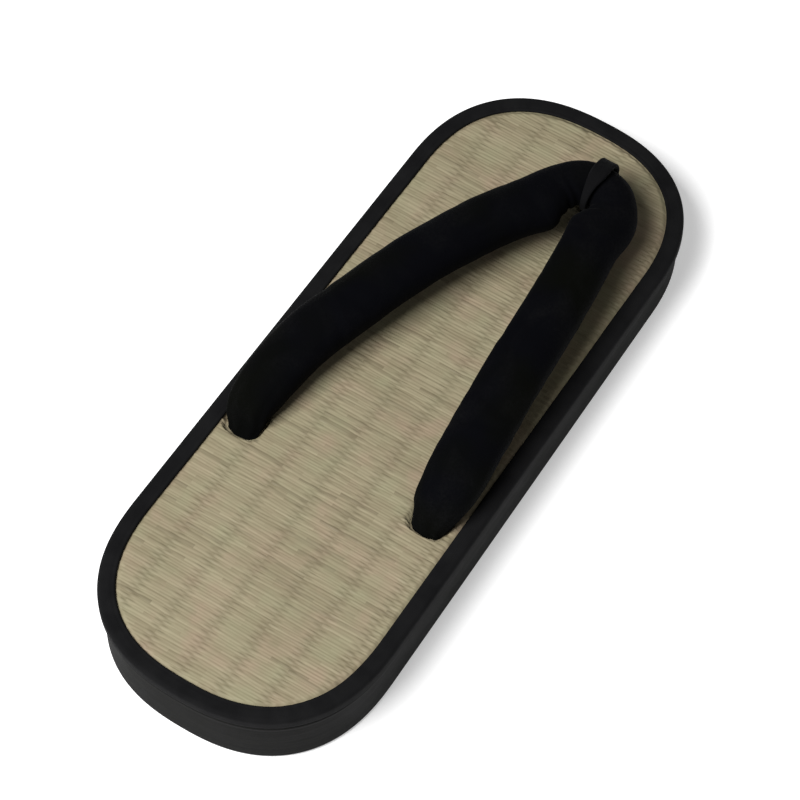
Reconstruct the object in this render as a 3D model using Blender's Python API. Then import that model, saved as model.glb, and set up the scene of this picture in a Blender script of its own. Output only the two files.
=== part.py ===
"""A zori sandal: a wedge sole, a bound rush mat, a padded cloth strap and its toe loop.

Metres, +Z up. +X points at the toe and +Y at the sandal's left side. The origin lies on the floor,
under the middle of the sandal's length and width.
"""

import bmesh
import bpy
import numpy as np

# Overall sizes
LENGTH = 0.267
HEEL_HALF_WIDTH = 0.0510
TOE_HALF_WIDTH = 0.0497
HEEL_END_DEPTH = 0.052
TOE_END_DEPTH = 0.050
END_SQUARENESS = 2.4
HEEL_HEIGHT = 0.0288
TOE_HEIGHT = 0.0212
CLEARANCE = 0.0003

# Points on the outline: in each rounded quarter, and along each straight side
QUARTER_STEPS = 18
SIDE_STEPS = 6

# Rush mat, with a thinner rim that the binding grips
MAT_THICKNESS = 0.0045
MAT_RIM_DROP = 0.0008
MAT_RIM_RISE = 0.0013
MAT_EDGE_ROUND = 0.0004

# Cloth binding, a folded tape round the mat's rim
BINDING_TOP_WIDTH = 0.0062
BINDING_UNDER_WIDTH = 0.0040
BINDING_CLOTH = 0.0010
BINDING_SKIRT = 0.0012
BINDING_PROUD = 0.0005
BINDING_ROUND = 0.0007

# Sole wall: inset from the outline, and height from the floor or from the sole's top
WALL_FROM_FLOOR = (
    # inset, height
    (0.0032, 0.0000),
    (0.0021, 0.0004),
    (0.0015, 0.0015),
)
WALL_FROM_TOP = (
    # inset, height
    (0.0015, -0.0030),
    (0.0011, -0.0024),
    (0.0008, -0.0016),
    (0.0010, -0.0007),
    (0.0018, 0.0000),
)

# Strap rows: place, height of the middle over the mat's top, width and thickness
LEFT_ARM = (
    # x, y, height, width, thickness
    (-0.0374, 0.0374, -0.0090, 0.0110, 0.0092),
    (-0.0366, 0.0378, -0.0022, 0.0122, 0.0100),
    (-0.0338, 0.0377, 0.0042, 0.0156, 0.0116),
    (-0.0250, 0.0369, 0.0084, 0.0184, 0.0136),
    (-0.0080, 0.0343, 0.0124, 0.0196, 0.0142),
    (0.0160, 0.0264, 0.0158, 0.0198, 0.0144),
    (0.0410, 0.0174, 0.0175, 0.0196, 0.0144),
    (0.0650, 0.0067, 0.0172, 0.0196, 0.0142),
    (0.0795, -0.0021, 0.0160, 0.0188, 0.0138),
)
RIGHT_ARM = (
    # x, y, height, width, thickness
    (0.0750, -0.0274, 0.0164, 0.0196, 0.0140),
    (0.0600, -0.0294, 0.0173, 0.0200, 0.0142),
    (0.0400, -0.0312, 0.0175, 0.0204, 0.0144),
    (0.0160, -0.0326, 0.0160, 0.0206, 0.0144),
    (-0.0080, -0.0343, 0.0126, 0.0206, 0.0142),
    (-0.0250, -0.0354, 0.0086, 0.0198, 0.0138),
    (-0.0335, -0.0350, 0.0042, 0.0166, 0.0116),
    (-0.0362, -0.0340, -0.0022, 0.0124, 0.0100),
    (-0.0370, -0.0336, -0.0090, 0.0110, 0.0092),
)
SECTION_SIDES = 20
SECTION_SQUARENESS = 2.3
STEPS_PER_ROW = 4
SLOT_ROWS = 3

# Fold where the two arms meet, gripped and narrowed by the toe loop
FOLD_X = 0.0886
FOLD_Y = -0.0160
FOLD_RADIUS = 0.0112
FOLD_HEIGHT = 0.0145
FOLD_ROWS = (
    # angle round the fold, width, thickness
    (60.0, 0.0162, 0.0134),
    (30.0, 0.0152, 0.0128),
    (0.0, 0.0150, 0.0126),
    (-36.0, 0.0154, 0.0128),
    (-75.0, 0.0170, 0.0134),
)

# Toe loop: a band over the fold, both ends down through the front hole
LOOP_WIDTH = 0.0070
LOOP_CROTCH_WIDTH = 0.0030
LOOP_THICKNESS = 0.0018
LOOP_HOLE_X = 0.0990
LOOP_HOLE_Y = -0.0140
LOOP_CORNER = 0.0005
LOOP_LEVELS = (-0.0085, -0.0040, 0.0005)
LOOP_TURNS = (-48.0, -12.0, 18.0, 45.0, 68.0, 90.0, 112.0, 135.0, 162.0, 192.0, 228.0)


def mat_top(x):
    """Height of the mat's top over the floor, falling evenly from the heel to the toe."""
    share = x / LENGTH + 0.5
    return HEEL_HEIGHT + (TOE_HEIGHT - HEEL_HEIGHT) * share


def quarter(depth, half_width):
    """Quarter of a superellipse, from the side at (0, half_width) to the end at (depth, 0)."""
    turn = np.linspace(0.0, np.pi / 2, QUARTER_STEPS + 1)
    along = depth * np.sin(turn) ** (2 / END_SQUARENESS)
    across = half_width * np.clip(np.cos(turn), 0.0, 1.0) ** (2 / END_SQUARENESS)
    return np.column_stack([along, across])


def outline():
    """Plan of the binding's outer edge as points and outward directions, going round once."""
    toe = quarter(TOE_END_DEPTH, TOE_HALF_WIDTH) + [LENGTH / 2 - TOE_END_DEPTH, 0.0]
    heel = quarter(HEEL_END_DEPTH, HEEL_HALF_WIDTH)[::-1] * [-1.0, 1.0]
    heel += [HEEL_END_DEPTH - LENGTH / 2, 0.0]
    share = np.linspace(0.0, 1.0, SIDE_STEPS + 1)[1:-1, None]
    side = heel[-1] + (toe[0] - heel[-1]) * share
    half = np.vstack([heel, side, toe])
    points = np.vstack([half, half[-2:0:-1] * [1.0, -1.0]])
    run = np.roll(points, -1, axis=0) - np.roll(points, 1, axis=0)
    outward = np.column_stack([-run[:, 1], run[:, 0]])
    return points, outward / np.linalg.norm(outward, axis=1)[:, None]


def ring(inset, height, from_floor=False):
    """Outline moved inwards by inset, at a height over the floor or over the sloping mat's top."""
    points, outward = outline()
    plan = points - outward * inset
    base = 0.0 if from_floor else mat_top(plan[:, 0])
    return np.column_stack([plan, height + np.zeros(len(plan)) + base])


def new_object(name, mesh, collection, material=None):
    """Object with smooth round stretches and crisp edges, linked to its collection."""
    mesh.shade_smooth()
    mesh.set_sharp_from_angle(angle=np.radians(35.0))
    item = bpy.data.objects.new(name, mesh)
    collection.objects.link(item)
    if material:
        mesh.materials.append(material)
    return item


def loft(name, rings, closed=False):
    """Skin over rings of equal length, capped at both ends or carried round to the first ring."""
    rings = np.asarray(rings)
    count, size = rings.shape[:2]
    step = np.arange(size)
    ahead = np.roll(step, -1)
    faces = []
    for row in range(count if closed else count - 1):
        low = row * size
        high = (row + 1) % count * size
        faces += np.column_stack([low + step, low + ahead, high + ahead, high + step]).tolist()
    if not closed:
        faces.append(step[::-1].tolist())
        faces.append((step + (count - 1) * size).tolist())
    mesh = bpy.data.meshes.new(name)
    mesh.from_pydata(rings.reshape(-1, 3).tolist(), [], faces)
    work = bmesh.new()
    work.from_mesh(mesh)
    bmesh.ops.recalc_face_normals(work, faces=work.faces)
    work.to_mesh(mesh)
    work.free()
    return mesh


def cut(item, cutter):
    """Takes the cutter's shape out of the item."""
    boolean = item.modifiers.new("cut_" + cutter.name, "BOOLEAN")
    boolean.operation = "DIFFERENCE"
    boolean.solver = "EXACT"
    boolean.object = cutter


def make_material(name, colour, roughness):
    """Plain finish: colour and roughness, no metal."""
    material = bpy.data.materials.new(name)
    material.use_nodes = True
    surface = material.node_tree.nodes["Principled BSDF"]
    surface.inputs["Base Color"].default_value = (*colour, 1.0)
    surface.inputs["Roughness"].default_value = roughness
    surface.inputs["Metallic"].default_value = 0.0
    return material


def make_sole(collection):
    """Wedge block: flat on the floor, plain drawn-in wall, a small bead under the binding."""
    top = -MAT_THICKNESS - CLEARANCE
    rings = [ring(inset, height, from_floor=True) for inset, height in WALL_FROM_FLOOR]
    rings += [ring(inset, top + height) for inset, height in WALL_FROM_TOP]
    rubber = make_material("black_rubber", (0.020, 0.020, 0.021), 0.55)
    return new_object("sole", loft("sole", rings), collection, rubber)


def make_rush_mat(collection):
    """Flat mat with a rim that is thinner above and below, where the binding grips it."""
    edge = BINDING_SKIRT + CLEARANCE
    upper = BINDING_TOP_WIDTH + CLEARANCE
    lower = BINDING_UNDER_WIDTH + CLEARANCE
    rings = [
        ring(lower, -MAT_THICKNESS),
        ring(lower, MAT_RIM_RISE - MAT_THICKNESS),
        ring(edge, MAT_RIM_RISE - MAT_THICKNESS),
        ring(edge, -MAT_RIM_DROP),
        ring(upper, -MAT_RIM_DROP),
        ring(upper, -MAT_EDGE_ROUND),
        ring(upper + MAT_EDGE_ROUND, 0.0),
    ]
    rush = make_material("woven_rush", (0.39, 0.33, 0.19), 0.75)
    return new_object("rush_mat", loft("rush_mat", rings), collection, rush)


def make_edge_binding(collection):
    """C-shaped tape carried round the outline: wide on top, down the edge, narrow underneath."""
    top = BINDING_PROUD
    bottom = -MAT_THICKNESS
    soft = BINDING_ROUND
    profile = (
        (BINDING_TOP_WIDTH, top - BINDING_CLOTH),
        (BINDING_SKIRT, top - BINDING_CLOTH),
        (BINDING_SKIRT, bottom + BINDING_CLOTH),
        (BINDING_UNDER_WIDTH, bottom + BINDING_CLOTH),
        (BINDING_UNDER_WIDTH, bottom),
        (soft, bottom),
        (soft * 0.3, bottom + soft * 0.3),
        (0.0, bottom + soft),
        (0.0, top - soft * 1.6),
        (soft * 0.5, top - soft * 0.5),
        (soft * 1.6, top),
        (BINDING_TOP_WIDTH - soft * 0.6, top),
        (BINDING_TOP_WIDTH, top - soft * 0.6),
    )
    rings = [ring(inset, height) for inset, height in profile]
    cloth = make_material("black_binding_cloth", (0.012, 0.012, 0.014), 0.85)
    return new_object("edge_binding", loft("edge_binding", rings, closed=True), collection, cloth)


def strap_rows():
    """All rows of the strap from the left end, over the fold, to the right end."""
    fold = []
    for angle, width, thickness in FOLD_ROWS:
        turn = np.radians(angle)
        x = FOLD_X + FOLD_RADIUS * np.cos(turn)
        y = FOLD_Y + FOLD_RADIUS * np.sin(turn)
        fold.append((x, y, FOLD_HEIGHT, width, thickness))
    return np.array(LEFT_ARM + tuple(fold) + RIGHT_ARM)


def smooth_rows(rows):
    """Curve through the rows, each stretch a cubic whose slopes come from its two neighbours."""
    span = np.linalg.norm(np.diff(rows[:, :3], axis=0), axis=1)
    place = np.concatenate([[0.0], np.cumsum(span)])
    slope = np.gradient(rows, place, axis=0)
    share = np.linspace(0.0, 1.0, STEPS_PER_ROW, endpoint=False)[:, None]
    curve = []
    for index, gap in enumerate(span):
        start, end = rows[index], rows[index + 1]
        lift = start * (1 + 2 * share) * (1 - share) ** 2 + end * share ** 2 * (3 - 2 * share)
        bend = slope[index] * share * (1 - share) ** 2 - slope[index + 1] * share ** 2 * (1 - share)
        curve.append(lift + bend * gap)
    return np.vstack(curve + [rows[-1:]])


def superellipse(value):
    """Cosine or sine turned into the matching coordinate of the padded roll's rounded section."""
    return np.sign(value) * np.abs(value) ** (2 / SECTION_SQUARENESS)


def section_ring(centre, side, up, half_width, half_thickness):
    """Rounded section: a superellipse in the plane of the side and up directions."""
    turn = np.linspace(0.0, 2 * np.pi, SECTION_SIDES, endpoint=False)
    across = superellipse(np.cos(turn)) * half_width
    above = superellipse(np.sin(turn)) * half_thickness
    return centre + np.outer(across, side) + np.outer(above, up)


def strap_rings(grow=0.0):
    """Rings of the padded strap, square to its run, grown on every side by the given amount."""
    curve = smooth_rows(strap_rows())
    centre = curve[:, :3].copy()
    centre[:, 2] += mat_top(centre[:, 0])
    run = np.gradient(centre, axis=0)
    run /= np.linalg.norm(run, axis=1)[:, None]
    centre[0] -= run[0] * grow
    centre[-1] += run[-1] * grow
    side = np.cross([0.0, 0.0, 1.0], run)
    side /= np.linalg.norm(side, axis=1)[:, None]
    up = np.cross(run, side)
    half = curve[:, 3:5] / 2 + grow
    return [section_ring(*row[:3], *row[3]) for row in zip(centre, side, up, half)]


def make_strap(collection):
    """One padded roll: two arms out of their slots, joined in a fold over the toe gap."""
    velvet = make_material("black_strap_cloth", (0.006, 0.006, 0.007), 0.95)
    return new_object("strap", loft("strap", strap_rings()), collection, velvet)


def slot_cutters(collection):
    """The strap's two ends grown by the clearance, as far as they reach over the mat."""
    rings = strap_rings(CLEARANCE)
    last = SLOT_ROWS * STEPS_PER_ROW + 1
    ends = {"left_slot": rings[:last], "right_slot": rings[-last:]}
    return [new_object(name, loft(name, part), collection) for name, part in ends.items()]


def loop_path():
    """Rows of the loop: up from the hole, round the fold's front, over it, down the crotch, back.

    Each row has a place and the band's width. Round the fold the loop stands in the upright plane
    through the fold's tip. Under the fold its strands lean over to the hole.
    """
    width, thickness = FOLD_ROWS[2][1:]
    gap = CLEARANCE * 1.5 + LOOP_THICKNESS / 2
    reach = width / 2 + gap + CLEARANCE
    rise = thickness / 2 + gap
    middle = FOLD_X + FOLD_RADIUS - CLEARANCE
    strand = (LOOP_THICKNESS + CLEARANCE) / 2
    rows = [(LOOP_HOLE_X + strand, LOOP_HOLE_Y, level, LOOP_WIDTH) for level in LOOP_LEVELS]
    for angle in LOOP_TURNS:
        forward = superellipse(np.cos(np.radians(angle)))
        upward = superellipse(np.sin(np.radians(angle)))
        crotch = np.clip(-forward, 0.0, 1.0)
        band = LOOP_WIDTH + (LOOP_CROTCH_WIDTH - LOOP_WIDTH) * crotch
        rows.append((middle + reach * forward, FOLD_Y, FOLD_HEIGHT + rise * upward, band))
    rows += [(LOOP_HOLE_X - strand, LOOP_HOLE_Y, level, LOOP_WIDTH) for level in LOOP_LEVELS[::-1]]
    return smooth_rows(np.array(rows))


def loop_ring(centre, across, outward, half_width):
    """Band section: a flat rectangle with its four corners taken off."""
    flat = half_width - LOOP_CORNER
    thick = LOOP_THICKNESS / 2
    thin = thick - LOOP_CORNER
    corners = ((half_width, thin), (flat, thick), (-flat, thick), (-half_width, thin))
    corners += tuple((-width, -depth) for width, depth in corners)
    return [centre + across * width + outward * depth for width, depth in corners]


def make_toe_loop(collection):
    """Flat cloth band looped over the fold, narrowed where it passes between the two arms."""
    path = loop_path()
    centre = path[:, :3].copy()
    centre[:, 2] += mat_top(LOOP_HOLE_X)
    run = np.gradient(centre, axis=0)
    run /= np.linalg.norm(run, axis=1)[:, None]
    across = np.array([0.0, 1.0, 0.0]) - run * run[:, 1:2]
    across /= np.linalg.norm(across, axis=1)[:, None]
    outward = np.cross(run, across)
    rings = [loop_ring(*row) for row in zip(centre, across, outward, path[:, 3] / 2)]
    cloth = make_material("black_loop_cloth", (0.010, 0.010, 0.011), 0.90)
    return new_object("toe_loop", loft("toe_loop", rings), collection, cloth)


def hole_cutter(collection):
    """Upright slot for the loop's two strands, from over the mat to the pocket's floor."""
    half_x = LOOP_THICKNESS + CLEARANCE * 1.5
    half_y = LOOP_WIDTH / 2 + CLEARANCE
    middle = mat_top(LOOP_HOLE_X)
    low = middle + LOOP_LEVELS[0] - CLEARANCE
    high = middle - LOOP_LEVELS[0]
    bpy.ops.mesh.primitive_cube_add(size=1.0, location=(LOOP_HOLE_X, LOOP_HOLE_Y, (low + high) / 2))
    item = bpy.context.active_object
    item.name = "front_hole"
    item.scale = (half_x * 2, half_y * 2, high - low)
    for owner in list(item.users_collection):
        owner.objects.unlink(item)
    collection.objects.link(item)
    return item


def new_collection(name):
    """Collection linked to the scene."""
    collection = bpy.data.collections.new(name)
    bpy.context.scene.collection.children.link(collection)
    return collection


def main():
    """Clears the scene, then makes the five pieces and the slots that hold the strap and the loop."""
    for item in list(bpy.data.objects):
        bpy.data.objects.remove(item, do_unlink=True)
    sandal = new_collection("zori_sandal")
    cutters = new_collection("cutters")
    sole = make_sole(sandal)
    mat = make_rush_mat(sandal)
    make_edge_binding(sandal)
    make_strap(sandal)
    make_toe_loop(sandal)
    for cutter in slot_cutters(cutters) + [hole_cutter(cutters)]:
        cutter.display_type = "WIRE"
        cutter.hide_render = True
        cut(sole, cutter)
        cut(mat, cutter)


main()
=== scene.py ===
# %% [markdown]
# # A zori sandal, dressed on its CAD frame
# A zori is a flat Japanese sandal. A wedge of foam rubber carries a mat of woven rush. A folded
# cloth tape binds the mat's rim, and a padded velvet strap runs over the foot. The CAD model already
# has the right solids, so this lesson makes the surfaces that the eye sees.

import bpy
import numpy as np
from mathutils import Matrix, Vector


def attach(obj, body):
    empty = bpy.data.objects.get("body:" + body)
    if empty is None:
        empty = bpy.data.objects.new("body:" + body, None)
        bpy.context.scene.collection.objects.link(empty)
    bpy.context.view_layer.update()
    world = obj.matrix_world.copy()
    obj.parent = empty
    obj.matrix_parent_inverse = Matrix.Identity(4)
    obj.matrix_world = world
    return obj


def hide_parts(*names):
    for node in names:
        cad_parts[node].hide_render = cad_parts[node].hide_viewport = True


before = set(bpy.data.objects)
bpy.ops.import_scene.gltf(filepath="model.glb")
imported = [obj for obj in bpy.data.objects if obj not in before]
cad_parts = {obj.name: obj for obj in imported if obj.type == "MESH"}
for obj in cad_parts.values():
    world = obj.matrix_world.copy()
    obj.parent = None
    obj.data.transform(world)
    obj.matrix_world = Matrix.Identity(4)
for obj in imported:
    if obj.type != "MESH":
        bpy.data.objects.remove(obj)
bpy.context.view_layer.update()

# %% [markdown]
# ## The camera
# The photograph looks down on the sandal from behind its heel, on its right, about 60 degrees above
# the floor. A long lens far away keeps the two long sides nearly parallel. The camera here stands at
# the same place and turns to the middle of the one sandal, so that it fills the picture.

# %% Camera
CAMERA_PLACE = (-0.5720, -0.3653, 1.1697)
CAMERA_AIM = (0.0, 0.0, 0.0215)
LENS_MM = 180.0


def make_camera(place, aim, lens):
    """Camera at a place, turned to a point: its back axis runs from the aim to the place."""
    camera = bpy.data.objects.new("camera", bpy.data.cameras.new("camera"))
    bpy.context.scene.collection.objects.link(camera)
    back = np.subtract(place, aim)
    back /= np.linalg.norm(back)
    right = np.cross((0, 0, 1), back)
    right /= np.linalg.norm(right)
    turn = np.eye(4)
    turn[:3] = np.column_stack([right, np.cross(back, right), back, place])
    camera.matrix_world = Matrix(turn.tolist())
    camera.data.lens = lens
    camera.data.sensor_width = 36.0
    bpy.context.scene.camera = camera


make_camera(CAMERA_PLACE, CAMERA_AIM, LENS_MM)
print("camera stands at", CAMERA_PLACE, "with a lens of", LENS_MM, "mm")

# %% [markdown]
# ## The plan of the sandal
# Every piece below hangs on one line, the outer edge seen from above. The real maker cuts the sole
# from a template: two rounded ends joined by nearly straight sides. A superellipse gives such an end,
# because it is fuller at its corners than a plain ellipse. The numbers are the CAD model's, so each
# finished piece lands where its solid is.

# %% Plan of the edge
LENGTH = 0.267
HEEL_HALF_WIDTH, HEEL_DEPTH, HEEL_HEIGHT = 0.0510, 0.052, 0.0288
TOE_HALF_WIDTH, TOE_DEPTH, TOE_HEIGHT = 0.0497, 0.050, 0.0212
END_SQUARENESS = 2.4
MAT_THICKNESS = 0.0045
SLOPE = (HEEL_HEIGHT - TOE_HEIGHT) / LENGTH


def mat_top(x):
    """Height of the mat's top: it falls evenly from the heel to the toe."""
    return HEEL_HEIGHT - SLOPE * (x + LENGTH / 2)


def edge_line(count, steps=600):
    """Points on the edge and their outward directions, evenly spaced, and each one's place along it.

    A quarter has its depth times sin(t)^(2/k) along and its width times cos(t)^(2/k) across.
    """
    turn, power = np.linspace(0, np.pi / 2, steps), 2 / END_SQUARENESS
    along, across = np.sin(turn) ** power, np.clip(np.cos(turn), 0, 1) ** power
    toe = np.column_stack([LENGTH / 2 - TOE_DEPTH * (1 - along), TOE_HALF_WIDTH * across])
    heel = np.column_stack([HEEL_DEPTH * (1 - along) - LENGTH / 2, HEEL_HALF_WIDTH * across])
    half = np.vstack([heel[::-1], np.linspace(heel[0], toe[0], steps)[1:-1], toe])
    loop = np.vstack([half, half[-2::-1] * [1, -1]])
    place = np.concatenate([[0], np.cumsum(np.linalg.norm(np.diff(loop, axis=0), axis=1))])
    even = np.linspace(0, place[-1], count, endpoint=False)
    points = np.column_stack([np.interp(even, place, loop[:, axis]) for axis in (0, 1)])
    run = np.roll(points, -1, axis=0) - np.roll(points, 1, axis=0)
    outward = np.column_stack([-run[:, 1], run[:, 0]]) / np.linalg.norm(run, axis=1)[:, None]
    return points, outward, even


EDGE, OUTWARD, EDGE_PLACE = edge_line(640)
EDGE_LENGTH = float(EDGE_PLACE[-1] + EDGE_PLACE[1])
print("the edge is", round(EDGE_LENGTH * 1000, 1), "mm long")

# %% [markdown]
# ## From numbers to a mesh
# Each surface starts as a grid of points in one numpy array: rings of points, one ring after another.
# Blender takes such an array at once with foreach_set, which is far quicker than adding points one by
# one. The rings close into a tube, and a lid on each end makes it a solid. The sign of its volume says
# whether the faces look outwards, and if they don't, every face is turned over.

# %% Grid to mesh
def volume(points, quads):
    """Six times the volume inside quads: each is two triangles, each triangle a triple product."""
    a, b, c, d = (points[quads[:, corner]] for corner in range(4))
    return np.einsum("ij,ij->", a, np.cross(b, c) + np.cross(c, d))


def surface(name, grid, pattern, wrap_rows=False):
    """Closed piece from rings of points. pattern holds the uv of each point, with one more column,
    and one more row where the rows wrap, so that the pattern goes on over the join."""
    rows, columns = grid.shape[:2]
    row = np.arange(rows if wrap_rows else rows - 1)[:, None]
    column = np.arange(columns)[None, :]
    corners = [(row + i, column + j) for i, j in ((0, 0), (0, 1), (1, 1), (1, 0))]
    quads = np.stack([(r % rows) * columns + c % columns for r, c in corners], -1).reshape(-1, 4)
    quad_uv = np.stack([pattern[r, c] for r, c in corners], -2).reshape(-1, 4, 2)
    points = grid.reshape(-1, 3)
    lids = [] if wrap_rows else [np.arange(columns)[::-1], np.arange(columns) + (rows - 1) * columns]
    lid_uv = [] if wrap_rows else [pattern[0, :-1][::-1], pattern[-1, :-1]]
    if volume(points - points.mean(axis=0), quads) < 0:
        quads, quad_uv = quads[:, ::-1], quad_uv[:, ::-1]
        lids, lid_uv = [lid[::-1] for lid in lids], [uv[::-1] for uv in lid_uv]
    loops = np.concatenate([quads.ravel()] + lids)
    sizes = np.concatenate([np.full(len(quads), 4), [len(lid) for lid in lids]]).astype(int)
    mesh = bpy.data.meshes.new(name)
    mesh.vertices.add(len(points))
    mesh.vertices.foreach_set("co", points.ravel())
    mesh.loops.add(len(loops))
    mesh.loops.foreach_set("vertex_index", loops)
    mesh.polygons.add(len(sizes))
    mesh.polygons.foreach_set("loop_start", np.concatenate([[0], np.cumsum(sizes)[:-1]]))
    mesh.polygons.foreach_set("use_smooth", np.ones(len(sizes), dtype=bool))
    uv = np.concatenate([quad_uv.reshape(-1, 2)] + lid_uv)
    mesh.uv_layers.new(name="pattern").data.foreach_set("uv", uv.ravel())
    mesh.update(calc_edges=True)
    piece = bpy.data.objects.new(name, mesh)
    bpy.context.scene.collection.objects.link(piece)
    print(name, "has", 2 * len(quads), "triangles on its walls")
    return piece


def dress(piece, node, material):
    """Gives a piece its material and its place in the frame, and hides the CAD solid it stands for."""
    piece.data.materials.append(material)
    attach(piece, "root")
    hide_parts(node)
    return piece


# %% [markdown]
# ## Soft randomness
# Cloth and straw are never quite even. Random numbers at evenly spaced knots, joined by a smooth
# blend, give a gentle wander of any chosen size. The seed is fixed, so each run gives the same sandal.

# %% Wander
def wander(place, spacing, seed):
    """Smooth noise from -1 to 1: random knots every spacing, blended by 3t^2 - 2t^3 between them."""
    knots = np.random.default_rng(seed).uniform(-1, 1, 4096)
    step = np.asarray(place) / spacing
    low = np.floor(step).astype(int)
    share = step - low
    blend = share * share * (3 - 2 * share)
    return knots[low % 4096] * (1 - blend) + knots[(low + 1) % 4096] * blend


def bump_at(distance, width):
    """Bell curve: 1 in the middle, falling to about a third one width away."""
    return np.exp(-(np.asarray(distance) / width) ** 2)


# %% [markdown]
# ## Materials from named building blocks
# A Blender material is a graph of nodes. Writing each node and link out by hand takes many lines, so a
# small helper adds a node, sets its values and connects its inputs in one call. An input may be a
# number, a colour or the output of another node.

# %% Node helper
class Graph:
    """Adds nodes to a node tree. Inputs are given by name or number, as values or as sockets."""

    def __init__(self, tree):
        self.tree = tree

    def add(self, kind, inputs=None, out=0, **settings):
        """New node with its settings and inputs. Gives back one of its outputs."""
        node = self.tree.nodes.new("ShaderNode" + kind)
        for key, value in settings.items():
            setattr(node, key, value)
        for key, value in (inputs or {}).items():
            if isinstance(value, bpy.types.NodeSocket):
                self.tree.links.new(value, node.inputs[key])
            else:
                node.inputs[key].default_value = value
        return node.outputs[out]

    def math(self, operation, *values):
        """One Math node on up to three values."""
        return self.add("Math", dict(enumerate(values)), operation=operation)

    def mix(self, share, low, high, blend="MIX"):
        """Colour between low and high by a share from 0 to 1."""
        inputs = {0: share, 6: low, 7: high}
        return self.add("Mix", inputs, out=2, data_type="RGBA", blend_type=blend)

    def spread(self, value, low, high, to_low=0.0, to_high=1.0):
        """Value stretched from one range to another and kept inside it."""
        inputs = {0: value, 1: low, 2: high, 3: to_low, 4: to_high}
        return self.add("MapRange", inputs, clamp=True)


def new_material(name, **constants):
    """Material whose Principled shader has these plain values. Gives it, its graph and the shader."""
    material = bpy.data.materials.new(name)
    material.use_nodes = True
    shader = material.node_tree.nodes["Principled BSDF"]
    for key, value in constants.items():
        shader.inputs[key.replace("_", " ")].default_value = value
    return material, Graph(material.node_tree), shader


def new_group(name, inputs, outputs):
    """Empty node group with named number, vector or colour sockets, and a graph to fill it."""
    group = bpy.data.node_groups.new(name, "ShaderNodeTree")
    for direction, sockets in (("INPUT", inputs), ("OUTPUT", outputs)):
        for label, kind in sockets.items():
            group.interface.new_socket(label, in_out=direction, socket_type="NodeSocket" + kind)
    return group, group.nodes.new("NodeGroupInput"), group.nodes.new("NodeGroupOutput")


# %% [markdown]
# ## Cloth seen close up
# The binding and the toe loop are plain woven cloth. Threads go over and under each other, so the
# surface is a tiny chequer of bumps. The product of two sine waves gives that chequer, and a little
# noise keeps it from looking machined. Two materials use it, so it is a node group of its own.

# %% Woven cloth group
def weave_group():
    """Height and shade of a plain weave. Height is |sin u| against |sin v| on a chequer of threads."""
    group, given, made = new_group(
        "plain_weave", {"Pattern": "Vector", "Threads per mm": "Float"},
        {"Height": "Float", "Shade": "Float"})
    g = Graph(group)
    scaled = g.add("VectorMath", {0: given.outputs[0], 3: given.outputs[1]}, operation="SCALE")
    turned = g.add("VectorMath", {0: scaled, 3: np.pi}, operation="SCALE")
    u, v = (g.add("SeparateXYZ", {0: turned}, out=axis) for axis in (0, 1))
    over = g.math("MULTIPLY", g.math("SINE", u), g.math("SINE", v))
    fluff = g.add("TexNoise", {"Vector": scaled, "Scale": 1.7, "Detail": 3.0, "Roughness": 0.6})
    height = g.math("MULTIPLY_ADD", g.math("ABSOLUTE", over), 0.7, fluff)
    group.links.new(height, made.inputs[0])
    patches = g.add("TexNoise", {"Vector": given.outputs[0], "Scale": 0.12, "Detail": 4.0})
    group.links.new(g.math("MULTIPLY_ADD", fluff, 0.5, g.math("MULTIPLY", patches, 0.8)),
                    made.inputs[1])
    return group


PLAIN_WEAVE = weave_group()


def cloth_material(name, dark, light, roughness, threads, depth):
    """Woven cloth between two colours, with the weave as its bump."""
    material, g, shader = new_material(name, Roughness=roughness, Specular_IOR_Level=0.06)
    uv = g.add("UVMap", uv_map="pattern")
    height = g.add("Group", {0: uv, 1: threads}, node_tree=PLAIN_WEAVE)
    tone = g.spread(height.node.outputs[1], 0.35, 0.95)
    g.tree.links.new(g.mix(tone, (*dark, 1), (*light, 1)), shader.inputs["Base Color"])
    bump = g.add("Bump", {"Height": height, "Strength": 0.6, "Distance": depth})
    g.tree.links.new(bump, shader.inputs["Normal"])
    return material


# %% [markdown]
# ## The sole
# The sole is one block of foam rubber, dyed black and cut with a blade, so its wall is plain and a
# little satiny. It stands in from the binding, and just under the binding it swells into a small bead,
# which catches the light as a thin line round the heel. The shape is one profile, carried round the
# edge line. The profile's lower part is measured from the floor and its upper part from the mat.

# %% Carried profiles
CLEARANCE = 0.0003


def smooth_line(points, count, closed=False, passes=3):
    """Line through a few points, resampled to count even points and softened by short averages."""
    points = np.asarray(points, dtype=float)
    line = np.vstack([points, points[:1]]) if closed else points
    place = np.concatenate([[0], np.cumsum(np.linalg.norm(np.diff(line, axis=0), axis=1))])
    even = np.linspace(0, place[-1], count, endpoint=not closed)
    line = np.column_stack([np.interp(even, place, line[:, axis]) for axis in range(line.shape[1])])
    for _ in range(passes):
        soft = (np.roll(line, 1, axis=0) + 2 * line + np.roll(line, -1, axis=0)) / 4
        if not closed:
            soft[[0, -1]] = line[[0, -1]]
        line = soft
    return line


def edge_ring(inset, height, from_floor=False):
    """The edge line moved inwards, at a height over the floor or over the mat's sloping top."""
    plan = EDGE - OUTWARD * np.reshape(inset, (-1, 1))
    base = 0.0 if from_floor else mat_top(plan[:, 0])
    return np.column_stack([plan, height + 0 * plan[:, 0] + base])


def edge_pattern(across):
    """Pattern in mm: along the edge, and across the profile at each of its points."""
    along = np.append(EDGE_PLACE, EDGE_LENGTH) * 1000
    return np.stack(np.meshgrid(along, np.asarray(across) * 1000), axis=-1)


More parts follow.
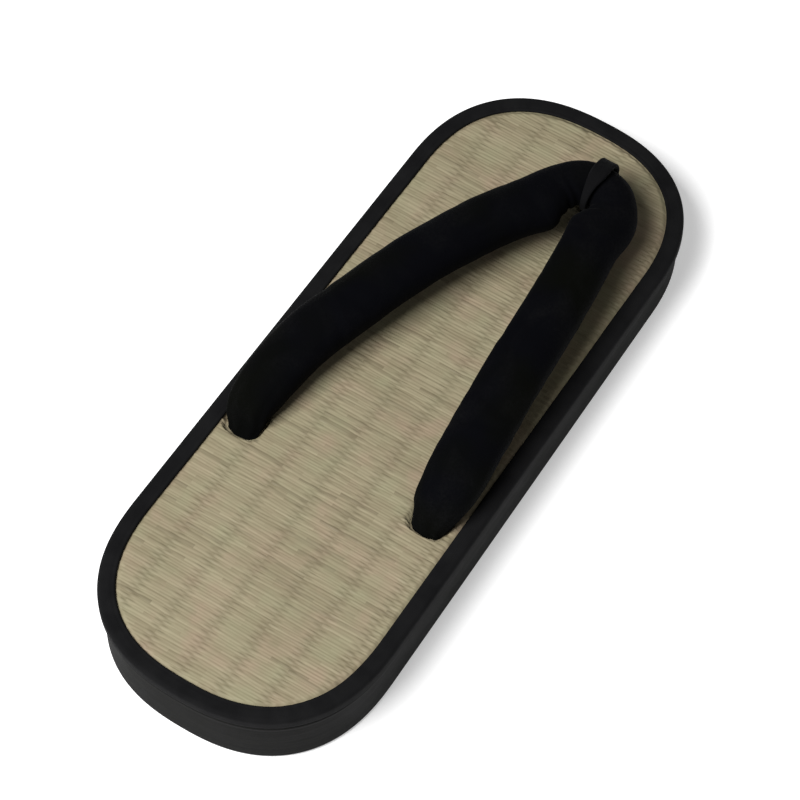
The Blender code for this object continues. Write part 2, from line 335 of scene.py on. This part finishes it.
# %% Sole
SOLE_TOP = -MAT_THICKNESS - CLEARANCE
FOOT = ((0.0032, 0.0), (0.0021, 0.0004), (0.0015, 0.0015), (0.0015, 0.0050))
BEAD = ((0.0015, -0.0080), (0.0015, -0.0032), (0.0008, -0.0026), (0.0006, -0.0016),
        (0.0008, -0.0006), (0.0018, 0.0))


def sole_piece():
    """Wall of the sole: the foot profile from the floor, then the bead profile from the mat."""
    low, high = smooth_line(FOOT, 12), smooth_line(BEAD, 26)
    low[0] = FOOT[0]
    rings = [edge_ring(inset, height, from_floor=True) for inset, height in low]
    rings += [edge_ring(inset, SOLE_TOP + height) for inset, height in high]
    across = np.concatenate([low[:, 1], 0.020 + high[:, 1]])
    return surface("foam_sole", np.array(rings), edge_pattern(across))


def sole_material():
    """Black foam rubber: cut cells as a fine bump, faint draw lines of the blade round the wall."""
    material, g, shader = new_material("satin_foam_rubber", Roughness=0.75, Specular_IOR_Level=0.04)
    place = g.add("TexCoord", out=3)
    cells = g.add("TexNoise", {"Vector": place, "Scale": 1500.0, "Detail": 3.0, "Roughness": 0.7})
    flat = g.add("Mapping", {"Vector": place, "Scale": (30.0, 30.0, 900.0)})
    lines = g.add("TexNoise", {"Vector": flat, "Scale": 1.0, "Detail": 3.0})
    cloud = g.add("TexNoise", {"Vector": place, "Scale": 28.0, "Detail": 5.0, "Roughness": 0.65})
    tone = g.math("ADD", g.math("MULTIPLY", lines, 0.5), g.math("MULTIPLY", cloud, 0.5))
    colour = g.mix(g.spread(tone, 0.35, 0.65), (0.0072, 0.0072, 0.0074, 1), (0.0125, 0.0125, 0.0118, 1))
    g.tree.links.new(colour, shader.inputs["Base Color"])
    rough = g.spread(cloud, 0.3, 0.7, 0.60, 0.80)
    g.tree.links.new(rough, shader.inputs["Roughness"])
    height = g.math("ADD", cells, g.math("MULTIPLY", lines, 0.8))
    bump = g.add("Bump", {"Height": height, "Strength": 0.35, "Distance": 0.0002})
    g.tree.links.new(bump, shader.inputs["Normal"])
    return material


dress(sole_piece(), "sole", sole_material())

# %% [markdown]
# ## The binding
# A strip of black cotton is folded over the mat's rim, glued and sewn down. Round the two ends the
# strip has to turn a tight corner, so its inner edge is too long there and gathers into tiny pleats.
# The profile is a closed C, carried once round the edge line. The pleats are a wave along the edge,
# strongest where the edge bends most and where the strip lies flat on the mat.

# %% Binding
BINDING_TOP, BINDING_UNDER, BINDING_SKIRT = 0.0062, 0.0040, 0.0012
BINDING_CLOTH, BINDING_PROUD, BINDING_SOFT = 0.0010, 0.0005, 0.0007
PLEAT_SPACING, PLEAT_DEPTH = 0.0034, 0.00013


def binding_profile():
    """Closed C of the folded strip: inset from the edge and height over the mat's top."""
    top, low, soft = BINDING_PROUD, -MAT_THICKNESS, BINDING_SOFT
    corners = ((BINDING_TOP, top - BINDING_CLOTH), (BINDING_SKIRT, top - BINDING_CLOTH),
               (BINDING_SKIRT, low + BINDING_CLOTH), (BINDING_UNDER, low + BINDING_CLOTH),
               (BINDING_UNDER, low), (soft, low), (0.3 * soft, low + 0.3 * soft), (0, low + soft),
               (0, top - 1.6 * soft), (0.5 * soft, top - 0.5 * soft), (1.6 * soft, top),
               (BINDING_TOP - 0.6 * soft, top), (BINDING_TOP, top - 0.6 * soft))
    return smooth_line(corners, 60, closed=True, passes=2)


def binding_piece():
    """The profile at every edge point, raised by the pleats on its top and lowered by the seam."""
    profile = binding_profile()
    run = np.linalg.norm(np.diff(profile, axis=0, append=profile[:1]), axis=1)
    across = np.concatenate([[0], np.cumsum(run)])
    turn = np.unwrap(np.arctan2(OUTWARD[:, 1], OUTWARD[:, 0]))
    bend = np.abs(np.gradient(turn, EDGE_PLACE))
    bend = np.clip(bend / 25.0, 0, 1)
    wave = np.sin(2 * np.pi * EDGE_PLACE / PLEAT_SPACING + 2.5 * wander(EDGE_PLACE, 0.006, 3))
    wave *= PLEAT_DEPTH * bend * (0.6 + 0.4 * wander(EDGE_PLACE, 0.009, 4))
    sway = 0.00008 * wander(EDGE_PLACE, 0.012, 5)
    rings = []
    for inset, height in profile:
        on_top = np.clip((height + 0.0004) / 0.0006, 0, 1)
        inner = np.clip((inset - 0.0012) / 0.004, 0, 1)
        seam = -0.00016 * bump_at(inset - SEAM_INSET, 0.00045)
        rings.append(edge_ring(inset + sway * on_top * inner,
                               height + on_top * (inner * wave + seam)))
    rings = np.swapaxes(np.array(rings), 0, 1)
    along = np.append(EDGE_PLACE, EDGE_LENGTH) * 1000
    pattern = np.stack(np.meshgrid(along, across * 1000, indexing="ij"), axis=-1)
    return surface("binding_tape", rings, pattern, wrap_rows=True)


SEAM_INSET = 0.0048
binding_cloth = cloth_material("binding_cotton", (0.0038, 0.0038, 0.0042), (0.0100, 0.0100, 0.0104),
                               0.8, 2.2, 0.00010)
dress(binding_piece(), "edge_binding", binding_cloth)

# %% [markdown]
# ## The rush mat
# The mat is woven like a tatami cover. Rush strands lie side by side across the sandal, a millimetre
# each, and pairs of thin warp threads run along it every 14.5 mm. At a warp pair each strand dips under
# one thread and rises over the other, and its neighbour does the opposite, so the mat shows soft
# stripes along its length. A true weave of 240 strands would be heavy. A height map does it with one
# grid: a round crown for each strand, and a bell-shaped dip or rise at each warp thread.

# %% Rush mat
STRAND = 0.00112
WARP_SPACING, WARP_OFFSET, THREAD_APART = 0.0145, 0.0030, 0.0012
MAT_RIM, MAT_END = 0.0018, 0.1305
HEIGHTS = {"crown": 0.00026, "dip": 0.00024, "rise": 0.00006, "uneven": 0.00006}
SLOT_DEPTH, SLOT_WALL = 0.0029, 0.06
SLOTS = (
    # middle x, middle y, half length, half width
    (-0.0361, 0.0373, 0.0071, 0.0073), (-0.0349, -0.0344, 0.0071, 0.0073), (0.0990, -0.0140, 0.0031, 0.0048),
)


def strand_number(x, y):
    """Which strand a point is on: its place along the sandal in strand widths, gently wandering."""
    sway = 0.35 * wander(y + 3.0 * np.round(x / 0.004), 0.016, 11) + 0.5 * wander(x, 0.007, 12)
    return x / STRAND + 200 + sway


def rush_height(x, y):
    """Crown of the strand, less its dip under one warp thread, plus its rise over the other."""
    number = strand_number(x, y)
    whole = np.floor(number).astype(int)
    crown = np.sqrt(1 - 0.92 * (2 * (number - whole) - 1) ** 2) - 0.8
    side = np.where(whole % 2 == 0, 1.0, -1.0)
    gap = y - WARP_OFFSET
    gap = gap - WARP_SPACING * np.round(gap / WARP_SPACING)
    dip = bump_at(gap - side * THREAD_APART, 0.0013)
    rise = bump_at(gap + side * THREAD_APART, 0.0013)
    uneven = np.random.default_rng(13).uniform(-1, 1, 512)[whole % 512]
    return (HEIGHTS["crown"] * crown - HEIGHTS["dip"] * dip + HEIGHTS["rise"] * rise
            + HEIGHTS["uneven"] * uneven)


def slot_cut(x, y):
    """Depth of the slots for strap and loop: full inside |x|^3 + |y|^3 < 1, with a steep wall."""
    depth = np.zeros(x.shape)
    for middle_x, middle_y, half_x, half_y in SLOTS:
        size = np.cbrt(np.abs((x - middle_x) / half_x) ** 3 + np.abs((y - middle_y) / half_y) ** 3)
        depth = np.maximum(depth, np.clip((1 - size) / SLOT_WALL, 0, 1))
    return SLOT_DEPTH * depth


def mat_piece(rows=900, across=104):
    """Cross-sections from heel to toe: a row over the top from side to side, then one underneath.

    The half width at each row comes from the edge line moved inwards. Near the edge the height
    falls to the rim that the binding grips.
    """
    x = np.linspace(-MAT_END, MAT_END, rows)
    ring = edge_ring(MAT_RIM, 0.0)
    side = ring[ring[:, 1] > 0]
    side = side[np.argsort(side[:, 0])]
    half = np.interp(x, side[:, 0], side[:, 1])[:, None]
    share = np.sin(np.linspace(-1, 1, across) * np.pi / 2 * 0.8) / np.sin(np.pi / 2 * 0.8)
    top_y = share * half
    top_x = x[:, None] + 0 * top_y
    near = np.min(np.hypot(top_x[..., None] - ring[::4, 0], top_y[..., None] - ring[::4, 1]), axis=-1)
    gripped = np.clip((0.0055 - near) / 0.0011, 0, 1)
    top_z = mat_top(top_x) + rush_height(top_x, top_y) * (1 - gripped) - 0.0009 * gripped
    top_z -= slot_cut(top_x, top_y)
    low_y = np.linspace(1, -1, 5) * half
    low_z = mat_top(x)[:, None] - MAT_THICKNESS + 0.0013 + 0 * low_y
    y, z = np.hstack([top_y, low_y]), np.hstack([top_z, low_z])
    grid = np.stack([x[:, None] + 0 * y, y, z], axis=-1)
    u = strand_number(grid[..., 0], y)
    v = (y - WARP_OFFSET) / WARP_SPACING + 10
    pattern = np.stack([u, v], axis=-1)
    return surface("woven_rush_mat", grid, np.concatenate([pattern, pattern[:, :1]], axis=1))


# %% [markdown]
# ## The colour of rush
# Dried rush is a khaki straw colour, and no two strands match: some keep a green tint, some turn pink
# or brown, and a few dark ones show as short streaks from warp to warp. The mesh carries a pattern
# map whose first number counts strands and whose second counts warp stripes. Whole numbers of both
# give each stretch of strand its own random value, and a slow noise tints whole patches.

# %% Rush material
STRAW = {"light": (0.300, 0.262, 0.168, 1), "dark": (0.205, 0.172, 0.104, 1)}
TINTS = {"green": (0.262, 0.246, 0.150, 1), "pink": (0.300, 0.225, 0.155, 1)}
STREAK = (0.120, 0.098, 0.058, 1)


def rush_material():
    """Random shade for each stretch of strand, slow tints, dark streaks and darker warp stripes."""
    material, g, shader = new_material("woven_rush_straw", Roughness=0.62, Specular_IOR_Level=0.3)
    uv = g.add("UVMap", uv_map="pattern")
    u, v = (g.add("SeparateXYZ", {0: uv}, out=axis) for axis in (0, 1))
    strand = g.math("FLOOR", u)
    half_cell = g.math("FLOOR", g.math("MULTIPLY_ADD", strand, 0.5, v))
    cell = g.add("CombineXYZ", {0: strand, 1: half_cell})
    own = g.add("TexWhiteNoise", {"Vector": cell}, noise_dimensions="2D")
    rare = g.add("TexWhiteNoise", {"Vector": g.add("VectorMath", {0: cell, 1: (37.0, 91.0, 0.0)})},
                 noise_dimensions="2D")
    place = g.add("TexCoord", out=3)
    patch = g.add("TexNoise", {"Vector": place, "Scale": 75.0, "Detail": 2.0})
    slow = g.add("TexNoise", {"Vector": g.add("Mapping", {"Vector": place, "Scale": (80, 22, 1)}),
                              "Scale": 1.0, "Detail": 3.0})
    long_grain = g.add("Mapping", {"Vector": place, "Scale": (1600, 90, 1)})
    fibre = g.add("TexNoise", {"Vector": long_grain, "Scale": 1.0, "Detail": 4.0, "Roughness": 0.7})
    shade = g.math("MULTIPLY_ADD", own, 0.35, g.math("MULTIPLY", fibre, 0.45))
    shade = g.math("MULTIPLY_ADD", slow, 0.55, shade)
    colour = g.mix(g.spread(shade, 0.35, 0.95), STRAW["dark"], STRAW["light"])
    colour = g.mix(g.spread(patch, 0.52, 0.72, 0.0, 0.7), colour, TINTS["pink"])
    colour = g.mix(g.spread(patch, 0.48, 0.30, 0.0, 0.7), colour, TINTS["green"])
    colour = g.mix(g.spread(rare, 0.90, 1.0, 0.0, 0.42), colour, STREAK)
    stripe = g.math("COSINE", g.math("MULTIPLY", v, 2 * np.pi))
    colour = g.mix(g.spread(stripe, 0.2, 1.0, 0.0, 0.22), colour, STREAK)
    g.tree.links.new(colour, shader.inputs["Base Color"])
    g.tree.links.new(g.spread(fibre, 0.3, 0.7, 0.55, 0.75), shader.inputs["Roughness"])
    bump = g.add("Bump", {"Height": fibre, "Strength": 0.4, "Distance": 0.0001})
    g.tree.links.new(bump, shader.inputs["Normal"])
    return material


dress(mat_piece(), "rush_mat", rush_material())

# %% [markdown]
# ## The path of the strap
# The strap is one padded roll. It comes up through the mat by the left side, rises over the foot,
# folds back on itself in the toe gap and goes down again on the right. A short table gives its middle,
# width and thickness at a few places, the same places as the CAD's. A cubic through them, with slopes
# from the neighbours, gives a path that is smooth in place and size alike.

# %% Strap path
STRAP_ROWS = (
    # x, y, height over the mat, width, thickness, all in mm
    (-37.2, 37.2, -4.6, 11.4, 9.8), (-36.5, 37.2, -2.6, 11.8, 9.9), (-33.6, 37.6, 4.2, 15.6, 11.6),
    (-25.0, 36.9, 8.4, 18.4, 13.6), (-8.0, 34.3, 12.4, 19.6, 14.2), (16.0, 26.4, 15.8, 19.8, 14.4),
    (41.0, 17.4, 17.5, 19.6, 14.4), (64.0, 7.3, 17.2, 19.8, 14.2), (79.0, -0.6, 16.2, 19.4, 13.8),
    (93.8, -6.9, 14.8, 15.8, 13.2), (98.2, -11.0, 14.5, 15.2, 12.8), (99.8, -16.0, 14.5, 15.0, 12.6),
    (97.66, -22.58, 14.5, 15.4, 12.8), (91.5, -26.82, 14.5, 17.0, 13.4),
    (75.0, -27.4, 16.4, 19.6, 14.0), (60.0, -29.4, 17.3, 20.0, 14.2), (40.0, -31.2, 17.5, 20.4, 14.4),
    (16.0, -32.6, 16.0, 20.6, 14.4), (-8.0, -34.3, 12.6, 20.6, 14.2), (-25.0, -35.4, 8.6, 19.8, 13.8),
    (-32.6, -35.0, 4.2, 16.6, 11.6), (-35.4, -34.4, -2.6, 12.2, 9.9), (-36.1, -34.4, -4.6, 11.8, 9.8),
)


def through_rows(rows, count):
    """Cubic between rows: both ends' values, and slopes from each row's neighbours, spaced evenly."""
    rows = np.asarray(rows) / 1000
    span = np.linalg.norm(np.diff(rows[:, :3], axis=0), axis=1)
    place = np.concatenate([[0], np.cumsum(span)])
    slope = np.gradient(rows, place, axis=0)
    fine = np.linspace(0, place[-1], 8 * count)
    low = np.clip(np.searchsorted(place, fine, side="right") - 1, 0, len(span) - 1)
    gap = span[low][:, None]
    share = (fine[:, None] - place[low][:, None]) / gap
    line = (rows[low] * (1 + 2 * share) * (1 - share) ** 2 + rows[low + 1] * share ** 2 * (3 - 2 * share)
            + gap * (slope[low] * share * (1 - share) ** 2 - slope[low + 1] * share ** 2 * (1 - share)))
    return smooth_line(line, count, passes=1)


def rounded(value, squareness=2.3):
    """Cosine or sine made into a superellipse's coordinate: its sign times |value|^(2/k)."""
    return np.sign(value) * np.abs(value) ** (2 / squareness)


def roll_frames(line):
    """Middle of the roll over the floor, with the directions of its run, its side and its top."""
    middle = line[:, :3].copy()
    middle[:, 2] += mat_top(middle[:, 0])
    run = np.gradient(middle, axis=0)
    run /= np.linalg.norm(run, axis=1)[:, None]
    side = np.cross([0.0, 0.0, 1.0], run)
    side /= np.linalg.norm(side, axis=1)[:, None]
    return middle, run, side, np.cross(run, side)


# %% [markdown]
# ## Creases in the strap
# A velvet tube stuffed with cotton doesn't stay a clean tube. Where it folds, the cloth on the inside
# is too long and wrinkles. Where it dives into the mat it is gathered. The toe loop pulls a waist into
# it, and a seam runs along its underside. Each crease is a soft trough across the roll, given in a
# table: how far from the fold, how it leans, and how deep and wide it is.

# %% Strap with its creases
CREASES = (
    # mm from the fold, turn round the roll in degrees, lean in mm, width, depth, reach in degrees
    (-19.0, 200, 3.0, 1.6, 0.50, 70), (-14.5, 190, 2.0, 1.3, 0.60, 70), (-10.5, 175, 1.5, 1.1, 0.55, 80),
    (11.0, 170, -1.5, 1.2, 0.60, 80), (15.5, 185, -2.0, 1.4, 0.60, 70), (21.0, 200, -3.0, 1.7, 0.45, 65),
    (-27.0, 120, 4.0, 1.8, 0.28, 60), (29.0, 110, -5.0, 1.9, 0.30, 60), (-48.0, 60, 5.0, 2.2, 0.20, 70),
    (52.0, 60, -5.0, 2.4, 0.22, 70), (-101.0, 80, 3.0, 1.8, 0.30, 80), (-108.0, 100, -3.0, 1.6, 0.34, 80),
    (103.0, 90, -3.0, 1.8, 0.30, 80), (110.0, 75, 3.0, 1.6, 0.36, 80), (-78.0, 40, 6.0, 2.4, 0.16, 70),
    (80.0, 130, -6.0, 2.6, 0.18, 70),
)
LOOP_WAIST = {"width": 3.6, "depth": 0.35}
PINCH = {"from_fold": 24.5, "width": 5.0, "depth": 2.1, "reach": 62}
STRAP_FLOOR = 0.0026
ROLL_STEPS, ROLL_SIDES = 300, 56


def crease_depth(place, turn):
    """Inward move of the cloth: for each crease, a bell across it times a bell round the roll."""
    depth = np.zeros(np.broadcast(place, turn).shape)
    for where, at, lean, width, deep, reach in CREASES:
        off = (turn - np.radians(at) + np.pi) % (2 * np.pi) - np.pi
        wave = 0.35 * width * np.sin(3 * off + where)
        trough = bump_at(place - where - lean * np.sin(off) - wave, width)
        lip = bump_at(place - where - lean * np.sin(off) - wave - 2.1 * width, width)
        depth += deep * (trough - 0.45 * lip) * bump_at(off, np.radians(reach))
    return depth / 1000


def strap_piece():
    """Rings square to the path, each a superellipse, pushed in by creases, seam, waist and gathers."""
    line = through_rows(STRAP_ROWS, ROLL_STEPS)
    middle, run, side, up = roll_frames(line)
    along = np.concatenate([[0], np.cumsum(np.linalg.norm(np.diff(middle, axis=0), axis=1))])
    fold = along[np.argmax(middle[:, 0])]
    place = ((along - fold) * 1000)[:, None]
    turn = np.linspace(0, 2 * np.pi, ROLL_SIDES, endpoint=False)[None, :]
    push = crease_depth(place, turn)
    push += LOOP_WAIST["depth"] / 1000 * bump_at(place, LOOP_WAIST["width"])
    inner_side = bump_at(turn - np.pi, np.radians(PINCH["reach"]))
    push -= PINCH["depth"] / 1000 * bump_at(np.abs(place) - PINCH["from_fold"], PINCH["width"]) * inner_side
    push += 0.0004 * bump_at((turn - 1.5 * np.pi), 0.10)
    to_end = np.minimum(along, along[-1] - along)[:, None] * 1000
    push += 0.00028 * np.cos(9 * turn + 0.06 * place) * bump_at(to_end - 7, 7.0)
    for spacing, amount, seed in ((0.011, 0.00016, 21), (0.0032, 0.00006, 22)):
        push += amount * wander(along[:, None] + 0.1 * np.round(turn * 1.6), spacing, seed)
    half = line[:, 3:5] / 2
    across = rounded(np.cos(turn)) * half[:, :1] - np.cos(turn) * push
    above = rounded(np.sin(turn)) * half[:, 1:] - np.sin(turn) * push
    grid = middle[:, None] + across[..., None] * side[:, None] + above[..., None] * up[:, None]
    grid[..., 2] = np.maximum(grid[..., 2], mat_top(grid[..., 0]) - STRAP_FLOOR)
    girth = np.linspace(0, 1, ROLL_SIDES + 1) * 54.0
    pattern = np.stack(np.meshgrid(along * 1000, girth, indexing="ij"), axis=-1)
    return surface("padded_strap", grid, pattern)


def velvet_material():
    """Black velvet: almost no gloss, a faint sheen of its pile, a fine uneven nap, and paler patches of
    painted sheen where the pile is brushed.
    """
    material, g, shader = new_material("strap_velvet", Roughness=0.9, Specular_IOR_Level=0.02,
                                       Sheen_Weight=0.012, Sheen_Roughness=0.4)
    place = g.add("TexCoord", out=3)
    nap = g.add("TexNoise", {"Vector": place, "Scale": 900.0, "Detail": 4.0, "Roughness": 0.7})
    brushed_sheen_patches = g.add("TexNoise", {"Vector": place, "Scale": 45.0, "Detail": 4.0, "Distortion": 1.0})
    tint = g.add("TexNoise", {"Vector": place, "Scale": 30.0, "Detail": 2.0})
    cool, warm = (0.0017, 0.0018, 0.0026, 1), (0.0020, 0.0022, 0.0016, 1)
    colour = g.mix(g.spread(tint, 0.4, 0.6), cool, warm)
    # Paler patches of brushed pile are painted sheen: a lighter colour stands in for light caught by the
    # pile.
    painted_sheen = g.math("MULTIPLY", g.spread(brushed_sheen_patches, 0.45, 0.8), g.spread(nap, 0.3, 0.7))
    colour = g.mix(painted_sheen, colour, (0.0052, 0.0052, 0.0056, 1))
    g.tree.links.new(colour, shader.inputs["Base Color"])
    bump = g.add("Bump", {"Height": nap, "Strength": 0.5, "Distance": 0.0003})
    g.tree.links.new(bump, shader.inputs["Normal"])
    return material


strap = dress(strap_piece(), "strap", velvet_material())

# %% [markdown]
# ## The toe loop
# A narrow band of the same black cotton holds the fold down. It comes up in front of the fold, goes
# over it, passes down between the two arms and back into the hole, so it is narrower there. Its path
# is a table too: an angle round the fold gives each place, as the CAD does it.

# %% Toe loop
LOOP_WIDTH, LOOP_CROTCH, LOOP_THICKNESS = 0.0060, 0.0024, 0.0018
LOOP_HOLE = (0.0990, -0.0140)
LOOP_TURNS = (-48, -12, 18, 45, 68, 90, 112, 135, 162, 192, 228)
FOLD_TIP, FOLD_Y, FOLD_HEIGHT, FOLD_WIDTH, FOLD_THICKNESS = 0.0998, -0.0160, 0.0145, 0.0150, 0.0126


def loop_rows():
    """Rows of the loop in mm: x, y, height over the mat at the hole, and the band's width."""
    gap = 1.5 * CLEARANCE + LOOP_THICKNESS / 2
    reach, rise = FOLD_WIDTH / 2 + gap + CLEARANCE, FOLD_THICKNESS / 2 + gap
    strand = (LOOP_THICKNESS + CLEARANCE) / 2
    turn = np.radians(LOOP_TURNS)
    forward, upward = rounded(np.cos(turn)), rounded(np.sin(turn))
    band = LOOP_WIDTH + (LOOP_CROTCH - LOOP_WIDTH) * np.clip(-forward, 0, 1)
    x = FOLD_TIP - CLEARANCE + reach * forward
    over = np.column_stack([x, FOLD_Y + 0 * x, FOLD_HEIGHT + rise * upward, band])
    levels = np.array([-0.0026, 0.0005])
    up_strand = [(LOOP_HOLE[0] + strand, LOOP_HOLE[1], level, LOOP_WIDTH) for level in levels]
    down_strand = [(LOOP_HOLE[0] - strand, LOOP_HOLE[1], level, LOOP_WIDTH) for level in levels[::-1]]
    return np.vstack([up_strand, over, down_strand]) * 1000


def loop_piece():
    """Band with soft hems: a squarish superellipse section carried along the loop's path."""
    line = through_rows(loop_rows(), 150)
    middle = line[:, :3] + [0, 0, mat_top(LOOP_HOLE[0])]
    run = np.gradient(middle, axis=0)
    run /= np.linalg.norm(run, axis=1)[:, None]
    across = np.array([0.0, 1.0, 0.0]) - run * run[:, 1:2]
    across /= np.linalg.norm(across, axis=1)[:, None]
    outward = np.cross(run, across)
    turn = np.linspace(0, 2 * np.pi, 36, endpoint=False)
    wide = rounded(np.cos(turn), 7.0)[None] * line[:, 3:4] / 2
    hem = 0.00012 * (bump_at(np.abs(wide) - line[:, 3:4] / 2 + 0.0006, 0.0004) - 0.5)
    thick = rounded(np.sin(turn), 4.0)[None] * (LOOP_THICKNESS / 2 - 0.0001 + hem)
    grid = middle[:, None] + wide[..., None] * across[:, None] + thick[..., None] * outward[:, None]
    along = np.concatenate([[0], np.cumsum(np.linalg.norm(np.diff(middle, axis=0), axis=1))])
    pattern = np.stack(np.meshgrid(along * 1000, np.linspace(0, 16.0, 37), indexing="ij"), axis=-1)
    return surface("toe_loop_band", grid, pattern)


loop_cloth = cloth_material("loop_cotton", (0.0022, 0.0022, 0.0026), (0.0062, 0.0062, 0.0068),
                            0.85, 2.0, 0.00012)
dress(loop_piece(), "toe_loop", loop_cloth)

# %% [markdown]
# ## Floor and light
# The photograph is a shop picture on white: the floor is almost pure white and the shadow under the
# sandal is faint and wide. A large soft lamp from the upper left of the picture gives the direction of
# the shadows, and a white world fills them. The floor is matt, with a trace of unevenness.

# %% Stage
FLOOR_SIZE = 6.0
FLOOR_GLOW, WORLD_STRENGTH, KEY_WATTS = 0.42, 0.16, 47.0
KEY_PLACE, KEY_SIZE = (-0.909, 0.367, 1.510), 0.9


def make_floor():
    """Square sheet, matt and nearly white."""
    half = FLOOR_SIZE / 2
    corners = [(-half, -half, 0), (half, -half, 0), (half, half, 0), (-half, half, 0)]
    mesh = bpy.data.meshes.new("floor")
    mesh.from_pydata(corners, [], [(0, 1, 2, 3)])
    material, g, shader = new_material("white_floor", Roughness=0.9, Specular_IOR_Level=0.1,
                                       Emission_Color=(1, 1, 1, 1), Emission_Strength=FLOOR_GLOW)
    cloud = g.add("TexNoise", {"Vector": g.add("TexCoord", out=3), "Scale": 3.0, "Detail": 3.0})
    colour = g.mix(cloud, (0.84, 0.84, 0.84, 1), (0.86, 0.86, 0.86, 1))
    g.tree.links.new(colour, shader.inputs["Base Color"])
    mesh.materials.append(material)
    floor = bpy.data.objects.new("floor", mesh)
    bpy.context.scene.collection.objects.link(floor)


def make_light(name, place, aim, size, watts):
    """Square soft lamp that faces its aim."""
    lamp = bpy.data.objects.new(name, bpy.data.lights.new(name, "AREA"))
    bpy.context.scene.collection.objects.link(lamp)
    lamp.data.size, lamp.data.energy = size, watts
    lamp.location = place
    back = Vector(place) - Vector(aim)
    lamp.rotation_mode = "QUATERNION"
    lamp.rotation_quaternion = back.to_track_quat("Z", "Y")


def make_world(strength):
    """Even white light from all round."""
    world = bpy.data.worlds.new("white_room")
    world.use_nodes = True
    world.node_tree.nodes["Background"].inputs["Color"].default_value = (1, 1, 1, 1)
    world.node_tree.nodes["Background"].inputs["Strength"].default_value = strength
    bpy.context.scene.world = world


make_floor()
make_light("key_light", KEY_PLACE, (0, 0, 0), KEY_SIZE, KEY_WATTS)
make_world(WORLD_STRENGTH)
bpy.context.scene.view_settings.view_transform = "Standard"
